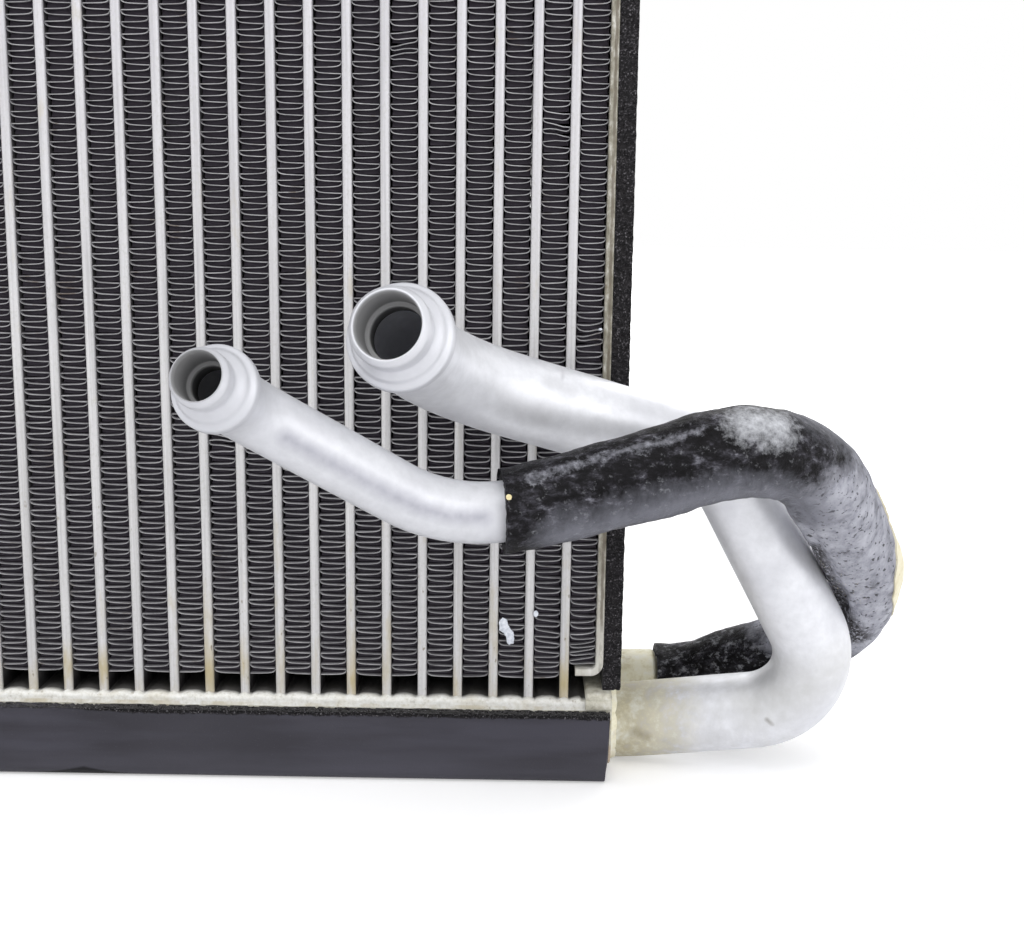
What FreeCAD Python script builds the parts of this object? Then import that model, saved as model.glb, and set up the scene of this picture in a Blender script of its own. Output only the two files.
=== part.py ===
# Evaporator core of a vehicle air conditioner: flat tubes with folded fins between them,
# a header and tank at each end, side plates, foam seals, and two bent refrigerant pipes.
# Millimetres, +Z up. X runs across the tubes, the pipes leave at +X and turn to -Y.
# The origin is the middle of the face that the core stands on.
import FreeCAD, Part
import math
import os

V = FreeCAD.Vector
os.makedirs("parts", exist_ok=True)

# Driving dimensions of the core
tube_count = 26
tube_pitch = 8.3
tube_thick = 2.1
tube_depth = 56.0
tube_wall = 0.4
tube_web = 3.0
tube_into_tank = 2.0
tube_edge_flat = 1.0
tube_edge_bevel = 0.8
fin_thick = 0.40
fin_crest = 0.9
fin_inset = 0.8
fin_waves = 7
fin_to_header = 4.8

# Driving dimensions of the tanks and headers
foam_under = 2.5
foam_side = 3.4
foam_corner = 3.0
tank_wall = 1.6
tank_height = 14.5
tank_corner = 5.0
tank_overhang = 1.6
header_thick = 2.0
dome_rise = 0.8
dome_margin = 0.45
dome_flat = 2.8
dome_end = 0.8
tube_free = 192.0
cap_thick = 1.8
cap_ridge_width = 4.5
cap_ridge_rise = 2.4
cap_tab = 0.6
baffle_thick = 1.5
foam_gap = 0.1
foam_end_gap = 0.6
tank_margin = 0.45
tab_gap = 0.1

# Driving dimensions of the side plates and their foam strips
plate_thick = 1.8
plate_bend = 3.0
foot_gap = 1.5
foot_lift = 5.8
strip_thick = 4.3
strip_inset = 0.3

# How far a cut runs past the face that it leaves by
over = 1.0

# Driving dimensions of the pipes
suction_od = 18.0
suction_wall = 1.3
suction_spigot_r = 6.0
suction_inset = 12.0
suction_lead = 4.5
spigot_wall = 1.2
suction_collar_r = 10.5
suction_nose_r = 7.8
suction_mouth_r = 6.2
suction_seat_r = 5.4
liquid_od = 12.4
liquid_wall = 1.2
liquid_spigot_r = 5.0
liquid_inset = 14.0
liquid_collar_r = 7.8
liquid_nose_r = 5.3
liquid_mouth_r = 4.2
liquid_seat_r = 3.5
socket_od = 16.2
socket_length = 13.9
socket_seat = 2.0
socket_floor = 4.0
pipe_lift = 7.6
sleeve_od = 17.6
sleeve_turn = 10.5
sleeve_bend_share = 0.9
tape_thick = 0.5
tape_width = 9.0
tape_share = 0.8
pipe_end_wall = 1.4
pipe_sides = 14
bore_sides = 8
end_sides = 16
bend_step = 20.0

# Stepped end of a pipe: distances along its axis from the end of the route, and its steps
end_back = 1.6
collar_front = 1.1
shoulder_front = 2.2
lip_from = 2.8
lip_to = 3.6
lip_height = 0.5
groove_to = 4.6
groove_depth = 0.3
end_length = 9.0
nose_chamfer = 0.6
mouth_chamfer = 0.4
seat_front = 2.6
seat_back = 1.0
seat_taper = 2.0
bore_overlap = 0.5
bore_reach = 7.0

# Corners of the suction pipe, from its hole in the cap: out or in along X, forwards, and up
suction_low_out = 54.25
suction_low_fore = 11.4
suction_low_up = 9.1
suction_top_out = 22.55
suction_top_fore = 15.4
suction_top_up = 67.9
suction_neck_in = 39.05
suction_neck_fore = 34.9
suction_neck_up = 87.4
suction_end_in = 44.85
suction_end_fore = 62.6
suction_end_up = 97.4

# Corners of the liquid pipe: out or in from the cap, forwards of the tubes' front, and up
liquid_low_out = 22.55
liquid_far_out = 68.35
liquid_far_fore = 9.9
liquid_far_up = 24.9
liquid_top_out = 34.15
liquid_top_fore = 36.0
liquid_top_up = 78.6
liquid_dip_in = 34.15
liquid_dip_fore = 42.2
liquid_dip_up = 59.6
liquid_neck_in = 72.45
liquid_neck_fore = 61.6
liquid_neck_up = 85.2
liquid_end_in = 74.55
liquid_end_fore = 74.5
liquid_end_up = 90.2

# Levels and spans that follow from the dimensions above
fin_height = tube_pitch - tube_thick
core_half = (tube_count - 1) * tube_pitch / 2 + tube_thick / 2 + fin_height
plate_outer = core_half + plate_thick
strip_outer = plate_outer + strip_thick
tank_half = plate_outer + tank_margin
cap_outer = tank_half + cap_thick
tank_y = tube_depth / 2 + tank_overhang
z_tank = foam_under
z_header = z_tank + tank_height
z_plate = z_header + header_thick
z_mid = z_plate + tube_free / 2
total_height = 2 * z_mid
z_fin = z_plate + fin_to_header
ridge_top = z_plate + cap_ridge_rise
foot_z = z_plate + foot_lift


def box(x0, x1, y0, y1, z0, z1):
    return Part.makeBox(x1 - x0, y1 - y0, z1 - z0, V(x0, y0, z0))


def save(shape, name):
    shape.exportStep("parts/" + name + ".step")


def face_of(points):
    return Part.Face(Part.makePolygon(points + [points[0]]))


# A flat tube's section in a level plane, centred on x, with bevelled front and rear edges
def slot_face(x, z):
    side = tube_thick / 2
    tip = tube_edge_flat / 2
    end = tube_depth / 2
    bevel = end - tube_edge_bevel
    half = [V(x - side, -bevel, z), V(x - tip, -end, z), V(x + tip, -end, z), V(x + side, -bevel, z)]
    other = [V(x + side, bevel, z), V(x + tip, end, z), V(x - tip, end, z), V(x - side, bevel, z)]
    return face_of(half + other)


# A rectangle in the plane across X whose two lower corners are rounded
def tray_face(x, half_y, z0, z1, radius):
    k = radius * (1 - math.sqrt(0.5))
    p1 = V(x, -half_y, z1)
    p2 = V(x, -half_y, z0 + radius)
    m2 = V(x, -half_y + k, z0 + k)
    p3 = V(x, -half_y + radius, z0)
    p4 = V(x, half_y - radius, z0)
    m4 = V(x, half_y - k, z0 + k)
    p5 = V(x, half_y, z0 + radius)
    p6 = V(x, half_y, z1)
    edges = [Part.makeLine(p1, p2), Part.Arc(p2, m2, p3).toShape()]
    edges += [Part.makeLine(p3, p4), Part.Arc(p4, m4, p5).toShape()]
    edges += [Part.makeLine(p5, p6), Part.makeLine(p6, p1)]
    return Part.Face(Part.Wire(edges))


def tray(x0, x1, half_y, z0, z1, radius):
    return tray_face(x0, half_y, z0, z1, radius).extrude(V(x1 - x0, 0, 0))


# The same piece at the top of the core, mirrored in the level plane through the middle
def to_top(shape):
    return shape.mirror(V(0, 0, z_mid), V(0, 0, 1))


def to_left(shape):
    return shape.mirror(V(0, 0, 0), V(1, 0, 0))


tube_x = [(i - (tube_count - 1) / 2) * tube_pitch for i in range(tube_count)]
tube_z0 = z_header - tube_into_tank
tube_z1 = 2 * z_mid - tube_z0

# Flat tubes, each with a front and a rear passage parted by a web
tubes = []
passage = (tube_depth - tube_web) / 2 - tube_wall * 2
for x in tube_x:
    body = slot_face(x, tube_z0)
    body = body.extrude(V(0, 0, tube_z1 - tube_z0))
    half = tube_thick / 2 - tube_wall
    front = tube_web / 2
    void_a = box(x - half, x + half, front, front + passage, tube_z0 - over, tube_z1 + over)
    void_b = box(x - half, x + half, -front - passage, -front, tube_z0 - over, tube_z1 + over)
    tubes.append(body.cut(void_a).cut(void_b))
save(Part.makeCompound(tubes), "flat_tubes")


# One folded fin strip: a zigzag band whose flat crests are brazed to both neighbours
def fin_strip(x_mid, z0, z1, first_side):
    h = fin_height / 2
    step = (z1 - z0 - fin_crest) / fin_waves
    rise = step - fin_crest
    left = []
    right = []
    for k in range(fin_waves + 1):
        zc = z0 + fin_crest / 2 + k * step
        side = first_side if k % 2 == 0 else -first_side
        pair = [V(side * h, 0, zc - fin_crest / 2), V(side * h, 0, zc + fin_crest / 2)]
        apex = V(side * (h - fin_thick), 0, zc)
        if side > 0:
            right += pair
            left += [apex]
        else:
            left += pair
            right += [apex]
    points = left + right[::-1]
    band = face_of(points).extrude(V(0, tube_depth - 2 * fin_inset, 0))
    band.translate(V(x_mid, -tube_depth / 2 + fin_inset, 0))
    return band


# Fin strips between the tubes; the two outermost stop at the side plates' feet
last = tube_count
for i in range(tube_count + 1):
    x_mid = tube_x[0] - tube_pitch / 2 + i * tube_pitch
    outer = i == 0 or i == last
    low = foot_z + plate_thick if outer else z_fin
    strip = fin_strip(x_mid, low, 2 * z_mid - low, 1 if i % 2 == 0 else -1)
    save(strip, "fin_%02d" % (i + 1))

# Header plate with a slot for each tube and a pressed ridge between each pair of tubes
header = box(-tank_half, tank_half, -tank_y, tank_y, z_header, z_plate)
domes = []
dome_half = fin_height / 2 - dome_margin
for i in range(tube_count + 1):
    x_mid = tube_x[0] - tube_pitch / 2 + i * tube_pitch
    if i == 0 or i == last:
        continue
    y = dome_end - tank_y
    crown_z = z_plate + dome_rise
    foot = [V(x_mid + dome_half, y, z_plate), V(x_mid - dome_half, y, z_plate)]
    crown = [V(x_mid - dome_flat / 2, y, crown_z), V(x_mid + dome_flat / 2, y, crown_z)]
    domes.append(face_of(foot + crown).extrude(V(0, -2 * y, 0)))
slots = []
for x in tube_x:
    cut = slot_face(x, z_header - over)
    slots.append(cut.extrude(V(0, 0, header_thick + dome_rise + 2 * over)))
header = header.fuse(domes).cut(Part.makeCompound(slots)).removeSplitter()
save(header, "header_bottom")
save(to_top(header), "header_top")


# The hollow of one tank chamber, front for side -1 and rear for side +1
def chamber(x0, x1, side):
    inside = tray(x0, x1, tank_y - tank_wall, z_tank + tank_wall, z_header, tank_corner - tank_wall)
    y0 = tank_wall / 2 if side > 0 else -tank_y
    y1 = tank_y if side > 0 else -tank_wall / 2
    return inside.common(box(x0, x1, y0, y1, 0, z_header))


# Tank cover: a pressed tray with a middle wall that parts the front and rear chambers
cover = tray(-tank_half, tank_half, tank_y, z_tank, z_header, tank_corner)
cover = cover.cut(chamber(-tank_half - over, tank_half + over, 1))
cover = cover.cut(chamber(-tank_half - over, tank_half + over, -1))
notches = []
for x in tube_x:
    x0, x1 = x - tube_thick / 2, x + tube_thick / 2
    notches.append(box(x0, x1, -tank_wall, tank_wall, tube_z0, z_header + over))
cover = cover.cut(Part.makeCompound(notches))
save(cover, "tank_bottom")
save(to_top(cover), "tank_top")

# Baffles halfway along: front chamber below, rear chamber above
baffle = chamber(-baffle_thick / 2, baffle_thick / 2, -1)
save(baffle, "baffle_bottom")
save(to_top(chamber(-baffle_thick / 2, baffle_thick / 2, 1)), "baffle_top")

# Where each bend starts and ends, and the point and axis it turns about
def bends(points, radii):
    out = []
    for i in range(1, len(points) - 1):
        u = points[i - 1].sub(points[i]).normalize()
        w = points[i + 1].sub(points[i]).normalize()
        half = u.getAngle(w) / 2
        reach = radii[i - 1] / math.tan(half)
        start = points[i].add(V(u).multiply(reach))
        end = points[i].add(V(w).multiply(reach))
        mid_dir = u.add(w).normalize()
        centre = points[i].add(V(mid_dir).multiply(radii[i - 1] / math.sin(half)))
        axis = V(start.sub(centre)).cross(end.sub(centre)).normalize()
        out.append((start, end, centre, axis, 180 - math.degrees(2 * half)))
    return out


# Sections along a route: middle, direction ahead and upward side, turned with each bend
def stations(points, radii):
    ahead = points[1].sub(points[0]).normalize()
    up = V(0, 0, 1)
    up = up.sub(V(ahead).multiply(up.dot(ahead))).normalize()
    out = [(points[0], ahead, up)]
    for start, end, centre, axis, angle in bends(points, radii):
        steps = max(2, math.ceil(angle / bend_step))
        for k in range(steps + 1):
            turn = FreeCAD.Rotation(axis, angle * k / steps)
            middle = centre.add(turn.multVec(start.sub(centre)))
            if middle.sub(out[-1][0]).Length > 1e-6:
                out.append((middle, turn.multVec(ahead), turn.multVec(up)))
        ahead, up = out[-1][1:]
    out.append((points[-1], ahead, up))
    return out


# A bar along straight runs and bends, its round section drawn with a number of flat sides
def bar(points, radii, radius, sides):
    rims = []
    for middle, ahead, up in stations(points, radii):
        across = ahead.cross(up)
        rim = []
        for k in range(sides):
            t = 2 * math.pi * k / sides
            spoke = V(up).multiply(math.cos(t)).add(V(across).multiply(math.sin(t)))
            rim.append(middle.add(spoke.multiply(radius)))
        rims.append(rim)
    faces = [face_of(rims[0]), face_of(rims[-1])]
    for near, far in zip(rims, rims[1:]):
        for k in range(sides):
            n = (k + 1) % sides
            faces.append(face_of([near[k], near[n], far[n], far[k]]))
    return Part.Solid(Part.Shell(faces))


# A bar along X at the pipes' level
def level_bar(x0, x1, y, radius, sides):
    return bar([V(x0, y, pipe_z), V(x1, y, pipe_z)], [], radius, sides)


# End cap: a plate over the tank's end with a ridge that laps over the header's end
pipe_z = z_tank + pipe_lift
suction_y = suction_inset - tube_depth / 2
liquid_y = tube_depth / 2 - liquid_inset
cap = tray(tank_half, cap_outer, tank_y, z_tank, z_plate, tank_corner)
lap_x = tank_half - cap_ridge_width
ridge_y = tank_y + cap_tab
cap = cap.fuse(box(lap_x, cap_outer, -ridge_y, ridge_y, z_plate, ridge_top))
tab_z = z_header + foam_gap + tab_gap
for side in (-1, 1):
    y0 = min(side * tank_y, side * ridge_y)
    y1 = max(side * tank_y, side * ridge_y)
    cap = cap.fuse(box(lap_x, cap_outer, y0, y1, tab_z, z_plate))
cap = cap.removeSplitter()
suction_hole = level_bar(tank_half - over, cap_outer + over, suction_y, suction_spigot_r, pipe_sides)
liquid_hole = level_bar(tank_half - over, cap_outer + over, liquid_y, liquid_spigot_r, pipe_sides)
save(cap.cut(suction_hole).cut(liquid_hole), "cap_bottom_right")
save(to_left(cap), "cap_bottom_left")
save(to_top(cap), "cap_top_right")
save(to_top(to_left(cap)), "cap_top_left")

# Side plate: a flat strip whose two ends are folded inwards as feet
plate_y = tube_depth / 2
z0 = foot_z
z1 = 2 * z_mid - foot_z
foot_x = core_half - fin_height + foot_gap
outline = box(foot_x, plate_outer, -plate_y, plate_y, z0, z1)
hollow = box(foot_x - over, core_half, -plate_y - over, plate_y + over, z0 + plate_thick, z1 - plate_thick)
side_plate = outline.cut(hollow)
corner = []
for e in side_plate.Edges:
    box_e = e.BoundBox
    long_y = box_e.YLength > plate_y
    at_side = abs(box_e.XMax - plate_outer) < 0.01
    at_end = min(abs(box_e.ZMin - z0), abs(box_e.ZMin - z1)) < 0.01
    if long_y and at_side and at_end:
        corner.append(e)
side_plate = side_plate.makeFillet(plate_bend, corner)
save(side_plate, "side_plate_right")
save(to_left(side_plate), "side_plate_left")

# Foam strips glued along both side plates, just short of the plates' edges
strip_y = plate_y - strip_inset
strip = box(plate_outer, strip_outer, -strip_y, strip_y, ridge_top, 2 * z_mid - ridge_top)
save(strip, "foam_strip_right")
save(to_left(strip), "foam_strip_left")

# Foam wrapped under the bottom tank and up its two long sides, and the same at the top
foam_x = cap_outer - foam_end_gap
foam_y = tank_y + foam_side
wrap = tray(-foam_x, foam_x, foam_y, 0, z_header + foam_gap, foam_corner)
wrap = wrap.cut(tray(-foam_x - over, foam_x + over, tank_y, z_tank, z_header + over, tank_corner))
save(wrap, "foam_bottom")
save(to_top(wrap), "foam_top")


# A form turned about its own axis, given as radius and distance pairs
def turned(profile, base, axis):
    solid = face_of([V(r, 0, s) for r, s in profile]).revolve(V(0, 0, 0), V(0, 0, 1), 360)
    solid.Placement = FreeCAD.Placement(base, FreeCAD.Rotation(V(0, 0, 1), axis))
    return solid


# The same with flat sides, where no other piece has to fit it closely
def turned_flat(profile, base, axis):
    rims = []
    for r, s in profile[1:-1]:
        spokes = [2 * math.pi * k / end_sides for k in range(end_sides)]
        rims.append([V(r * math.cos(t), r * math.sin(t), s) for t in spokes])
    faces = [face_of(rims[0]), face_of(rims[-1])]
    for near, far in zip(rims, rims[1:]):
        for k in range(end_sides):
            n = (k + 1) % end_sides
            faces.append(face_of([near[k], near[n], far[n], far[k]]))
    solid = Part.Solid(Part.Shell(faces))
    solid.Placement = FreeCAD.Placement(base, FreeCAD.Rotation(V(0, 0, 1), axis))
    return solid


# A point of a route, from the cap's outer face and the pipes' level
def corner_at(out, y, up):
    return V(cap_outer + out, y, pipe_z + up)


# Suction pipe: spigot in the cap, lower run, rising run, upper run, turned-out end
s0 = corner_at(0, suction_y, 0)
s1 = corner_at(suction_lead, suction_y, 0)
s2 = corner_at(suction_low_out, suction_y - suction_low_fore, suction_low_up)
s3 = corner_at(suction_top_out, suction_y - suction_top_fore, suction_top_up)
s4 = corner_at(-suction_neck_in, suction_y - suction_neck_fore, suction_neck_up)
s5 = corner_at(-suction_end_in, suction_y - suction_end_fore, suction_end_up)
suction_route = [s0, s1, s2, s3, s4, s5]
suction_bends = [22.0, 16.0, 22.0, 32.0]

# Liquid pipe: socket, lower run, sleeved loop, bare upper run, turned-out end
front_y = -tube_depth / 2
l0 = corner_at(socket_seat, liquid_y, 0)
l1 = corner_at(liquid_low_out, liquid_y, 0)
l2 = corner_at(liquid_far_out, -liquid_far_fore, liquid_far_up)
l3 = corner_at(liquid_top_out, front_y - liquid_top_fore, liquid_top_up)
l4 = corner_at(-liquid_dip_in, front_y - liquid_dip_fore, liquid_dip_up)
l5 = corner_at(-liquid_neck_in, front_y - liquid_neck_fore, liquid_neck_up)
l6 = corner_at(-liquid_end_in, front_y - liquid_end_fore, liquid_end_up)
liquid_route = [l0, l1, l2, l3, l4, l5, l6]
liquid_bends = [18.0, 36.0, 30.0, 32.0, 14.0]


# End form: collar and shoulder, seal groove and nose. Its bore steps down to a seat.
def pipe_end(base, axis, bore_r, collar_r, nose_r, mouth_r, seat_r):
    shoulder_r = (collar_r + nose_r) / 2
    lip_r = nose_r + lip_height
    groove_r = nose_r - groove_depth
    steps = [(0, -end_back), (collar_r, -end_back), (collar_r, collar_front)]
    steps += [(shoulder_r, collar_front), (shoulder_r, shoulder_front)]
    steps += [(lip_r, lip_from), (lip_r, lip_to), (0, lip_to)]
    nose = [(0, lip_from), (groove_r, lip_from), (groove_r, groove_to), (nose_r, groove_to)]
    nose += [(nose_r, end_length - nose_chamfer), (nose_r - nose_chamfer, end_length), (0, end_length)]
    mouth_from = end_length - mouth_chamfer
    bore = [(0, -bore_reach), (bore_r, -bore_reach), (bore_r, -seat_back - seat_taper)]
    bore += [(seat_r, -seat_back), (seat_r, seat_front), (mouth_r, seat_front), (mouth_r, mouth_from)]
    bore += [(mouth_r + over, mouth_from + over), (0, mouth_from + over)]
    body = turned_flat(steps, base, axis).fuse(turned(nose, base, axis))
    return body, turned_flat(bore, base, axis)


def make_pipe(route, radii, bore_start, outer, wall, collar_r, nose_r, mouth_r, seat_r):
    base = route[-1]
    axis = base.sub(route[-2]).normalize()
    end, end_bore = pipe_end(base, axis, outer / 2 - wall, collar_r, nose_r, mouth_r, seat_r)
    bore_end = base.sub(V(axis).multiply(bore_reach - bore_overlap))
    hollow = bar([bore_start] + route[1:-1] + [bore_end], radii, outer / 2 - wall, bore_sides)
    return bar(route, radii, outer / 2, pipe_sides).fuse(end).cut(hollow).cut(end_bore)


suction = make_pipe(
    suction_route, suction_bends, s0.add(V(pipe_end_wall, 0, 0)), suction_od, suction_wall,
    suction_collar_r, suction_nose_r, suction_mouth_r, suction_seat_r)
suction = suction.fuse(level_bar(tank_half, cap_outer, suction_y, suction_spigot_r, pipe_sides))
way_end = cap_outer + pipe_end_wall + over
way_r = suction_spigot_r - spigot_wall
suction = suction.cut(level_bar(tank_half - over, way_end, suction_y, way_r, bore_sides))
save(suction, "suction_pipe")

liquid = make_pipe(
    liquid_route, liquid_bends, l0, liquid_od, liquid_wall,
    liquid_collar_r, liquid_nose_r, liquid_mouth_r, liquid_seat_r)
save(liquid, "liquid_pipe")

# Socket brazed to the cap; the liquid pipe is pushed in to its inner step
liquid_bar = bar(liquid_route, liquid_bends, liquid_od / 2, pipe_sides)
socket_end = cap_outer + socket_length
socket = level_bar(cap_outer, socket_end, liquid_y, socket_od / 2, pipe_sides)
socket = socket.fuse(level_bar(tank_half, cap_outer, liquid_y, liquid_spigot_r, pipe_sides)).cut(liquid_bar)
way_end = cap_outer + socket_floor
way_r = liquid_spigot_r - spigot_wall
socket = socket.cut(level_bar(tank_half - over, way_end, liquid_y, way_r, bore_sides))
save(socket, "liquid_socket")

# Foam sleeve on the liquid pipe, from the socket to a plain cut end a little way into the
# bend of the upper run; its own last bend is slightly tighter, so that a short run ends it
turns = bends(liquid_route, liquid_bends)
turn_from, _, turn_about, turn_axis, _ = turns[3]
last_bend = liquid_bends[3]
lead = last_bend * math.tan(math.radians(sleeve_turn / 2))
sleeve_corner = turn_from.add(V(l4.sub(l3)).normalize().multiply(lead))
sleeve_spin = FreeCAD.Rotation(turn_axis, sleeve_turn)
sleeve_left = turn_about.add(sleeve_spin.multVec(turn_from.sub(turn_about)))
sleeve_route = [V(socket_end, liquid_y, pipe_z), l1, l2, l3, sleeve_corner, sleeve_left]
sleeve_bends = liquid_bends[:3] + [sleeve_bend_share * last_bend]
sleeve = bar(sleeve_route, sleeve_bends, sleeve_od / 2, pipe_sides)
save(sleeve.cut(liquid_bar), "pipe_sleeve")

# Cream tape stuck along the outside of the sleeve's rising run
tape_from = turns[1][1]
tape_dir = turns[2][0].sub(tape_from)
ring = Part.makeCylinder(sleeve_od / 2 + tape_thick, tape_dir.Length * tape_share, tape_from, tape_dir)
ring = ring.cut(Part.makeCylinder(sleeve_od / 2, tape_dir.Length, tape_from, tape_dir))
away = V(tape_dir).cross(V(tape_dir).cross(V(1.0, 0.0, -0.25))).normalize().multiply(-1)
side = V(tape_dir).cross(away).normalize()
keep = Part.makeBox(tape_width, sleeve_od, tape_dir.Length)
keep.translate(V(-tape_width / 2, 0, 0))
rot = FreeCAD.Rotation(side, away, V(tape_dir).normalize(), "ZYX")
keep.Placement = FreeCAD.Placement(tape_from, rot).multiply(keep.Placement)
save(ring.common(keep), "sleeve_tape")

print("height", round(total_height, 2), "half width", round(strip_outer, 2), "cap", round(cap_outer, 2))
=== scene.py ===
# Looks of an evaporator core, built around the fixed solids of the part.
# Lengths are millimetres in the part's frame until a mesh is written, which is in metres.
import random
from functools import partialmethod
from math import atan2, ceil, copysign, cos, degrees, exp, hypot, pi, radians, sin, sqrt, tan

import bmesh
import bpy
import numpy as np
from mathutils import Matrix, Vector, noise


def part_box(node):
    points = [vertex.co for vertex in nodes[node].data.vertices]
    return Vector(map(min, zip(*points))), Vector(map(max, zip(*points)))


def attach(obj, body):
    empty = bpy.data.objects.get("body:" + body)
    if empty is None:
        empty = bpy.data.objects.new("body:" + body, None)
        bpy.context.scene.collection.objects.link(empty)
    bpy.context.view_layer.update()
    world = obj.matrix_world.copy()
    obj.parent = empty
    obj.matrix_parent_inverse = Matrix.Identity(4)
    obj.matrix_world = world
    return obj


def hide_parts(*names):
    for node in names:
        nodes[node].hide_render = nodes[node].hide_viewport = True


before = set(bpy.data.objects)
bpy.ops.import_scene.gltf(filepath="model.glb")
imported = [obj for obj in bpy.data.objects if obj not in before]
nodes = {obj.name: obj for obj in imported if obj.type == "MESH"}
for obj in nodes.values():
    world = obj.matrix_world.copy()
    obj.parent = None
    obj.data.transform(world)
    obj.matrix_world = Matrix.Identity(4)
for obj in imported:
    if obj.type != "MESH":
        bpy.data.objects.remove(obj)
scene = bpy.context.scene
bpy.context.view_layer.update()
MM = 0.001


def span(node):
    low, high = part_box(node)
    return [c / MM for c in low], [c / MM for c in high]


# Sizes read from the solids
tubes_low, tubes_high = span("flat_tubes")
header_low, header_high = span("header_bottom")
foam_low, foam_high = span("foam_bottom")
strip_low, strip_high = span("foam_strip_right")
plate_low, plate_high = span("side_plate_right")
cap_low, cap_high = span("cap_bottom_right")
top_low, top_high = span("foam_top")
socket_end = span("liquid_socket")[1][0]
middle_z = (foam_low[2] + top_high[2]) / 2

# Sizes that the solids and the looks share
tube_count = 26
tube_thick = 2.1
tube_pitch = (tubes_high[0] - tubes_low[0] - tube_thick) / (tube_count - 1)
header_top = 19.0
dome_rise = 0.8
dome_half = 2.65
tank_bottom = 2.5
tank_half_y = 29.6
tank_corner = 5.0
foam_corner = 3.0
plate_thick = 1.8
plate_bend = 3.0
cap_thick = 1.8
cap_ridge_width = 4.5
suction_r = 9.0
suction_bore = 7.7
liquid_r = 6.2
liquid_bore = 5.0
socket_r = 8.1
sleeve_r = 8.8
sleeve_turn = 10.5

# Sizes that only the looks have
fin_pitch = 1.27
fin_sheet = 0.19
fin_sag = 1.5
fin_gap = 0.02
fin_half_depth = 27.0
fin_edge_from = 26.72
fin_edge_to = 27.14
louvre_from = 1.55
louvre_to = 2.2
louvre_edge = 0.12
louvre_drop = 0.92
louvre_reach = 0.33
seam_width = 0.22
lip_width = 0.36
tape_half_turn = 0.52
tape_from, tape_to = -18, 24


# Colours are given as they show on screen, from 0 to 255
def srgb(r, g, b):
    def linear(c):
        c = c / 255
        return c / 12.92 if c <= 0.04045 else ((c + 0.055) / 1.055) ** 2.4
    return (linear(r), linear(g), linear(b), 1.0)


def feed(socket, value):
    if isinstance(value, bpy.types.NodeSocket):
        socket.id_data.links.new(value, socket)
    else:
        socket.default_value = value


# Adds a shader node, with its inputs in order or by name, each a value or another node's output
def add_node(tree, kind, inputs=(), **settings):
    made = tree.nodes.new(kind)
    for key, value in settings.items():
        setattr(made, key, value)
    for key, value in (inputs.items() if isinstance(inputs, dict) else enumerate(inputs)):
        feed(made.inputs[key], value)
    return made


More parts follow.
